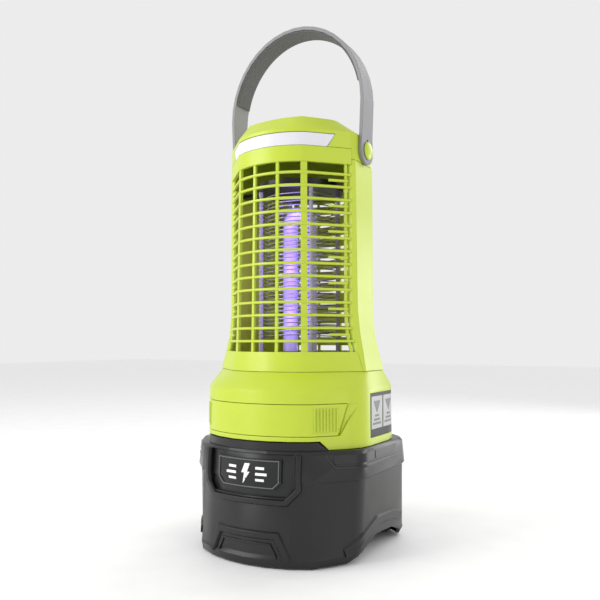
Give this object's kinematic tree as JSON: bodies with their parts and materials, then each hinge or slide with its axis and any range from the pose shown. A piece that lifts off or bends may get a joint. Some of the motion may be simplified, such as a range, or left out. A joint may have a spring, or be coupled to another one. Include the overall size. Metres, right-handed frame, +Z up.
{
  "type": "electric bug zapper",
  "caption": "Cordless insect killer: barred tower round a violet lamp and wire electrodes, pull-out tray, battery base and carrying strap.",
  "frame": {"origin": "on the floor under the tower's axis, at the centre of the base", "axes": "+Z up, -Y the front with the tray and badge, +X the side with the label"},
  "size_m": [0.15, 0.163, 0.4185],
  "materials": {
    "lime_plastic": "satin moulded",
    "black_plastic": "fine textured",
    "white_lens": "translucent diffuser",
    "grey_rubber": "smooth matte",
    "dark_rubber": "textured",
    "foot_rubber": "matte",
    "electrode_wire": "bright drawn wire",
    "uv_glass": "lit violet",
    "circuit_board": "solder mask",
    "screw_steel": "zinc plated",
    "lead_insulation": "smooth",
    "label_film": "printed film, blank"
  },
  "bodies": {
    "base": {"badge_plate": "black_plastic", "base_bottom_cover": "black_plastic", "base_housing": "black_plastic", "base_screw_front_left": "screw_steel", "base_screw_front_right": "screw_steel", "base_screw_rear_left": "screw_steel", "base_screw_rear_right": "screw_steel", "capacitor": "black_plastic", "circuit_board": "circuit_board", "contact_blade_left": "screw_steel", "contact_blade_right": "screw_steel", "electrode_base": "black_plastic", "electrode_coil_a": "electrode_wire", "electrode_coil_b": "electrode_wire", "electrode_lead": "lead_insulation", "electrode_post_1": "white_lens", "electrode_post_2": "white_lens", "electrode_post_3": "white_lens", "electrode_post_4": "white_lens", "electrode_top": "black_plastic", "foot_pad_front_left": "foot_rubber", "foot_pad_front_right": "foot_rubber", "foot_pad_rear_left": "foot_rubber", "foot_pad_rear_right": "foot_rubber", "front_grille": "lime_plastic", "front_lens": "white_lens", "head_cap": "lime_plastic", "lamp_socket": "black_plastic", "light_board": "circuit_board", "light_button_switch": "black_plastic", "lower_housing": "lime_plastic", "power_button_switch": "black_plastic", "rear_grille": "lime_plastic", "side_label": "label_film", "side_pillar_left": "lime_plastic", "side_pillar_right": "lime_plastic", "strap_stud_left": "lime_plastic", "strap_stud_right": "lime_plastic", "terminal_block": "black_plastic", "transformer": "lead_insulation", "uv_lamp": "uv_glass"},
    "strap": {"carry_strap": "grey_rubber", "strap_grip": "dark_rubber"},
    "tray": {"insect_tray": "lime_plastic"},
    "battery": {"battery_case": "black_plastic", "battery_end_cover": "black_plastic"},
    "battery_latch": {"battery_latch": "dark_rubber"},
    "power_button": {"power_button": "black_plastic"},
    "light_button": {"light_button": "black_plastic"}
  },
  "joints": [
    {"name": "strap_swing", "type": "hinge", "parent": "base", "child": "strap", "pos_m": [0, 0, 0.31], "axis": [1, 0, 0], "range_deg": [-125, 125]},
    {"name": "tray_slide", "type": "slide", "parent": "base", "child": "tray", "axis": [0, -1, 0], "range_m": [0, 0.115]},
    {"name": "battery_slide", "type": "slide", "parent": "base", "child": "battery", "axis": [0, 1, 0], "range_m": [0, 0.118]},
    {"name": "latch_press", "type": "slide", "parent": "battery", "child": "battery_latch", "axis": [0, 0, -1], "range_m": [0, 0.003], "stiffness_N_per_m": 400, "springref_m": -0.005},
    {"name": "power_button_press", "type": "slide", "parent": "base", "child": "power_button", "axis": [0, -1, 0], "range_m": [0, 0.0015], "stiffness_N_per_m": 600, "springref_m": -0.002},
    {"name": "light_button_press", "type": "slide", "parent": "base", "child": "light_button", "axis": [0, -1, 0], "range_m": [0, 0.0015], "stiffness_N_per_m": 600, "springref_m": -0.002}
  ]
}
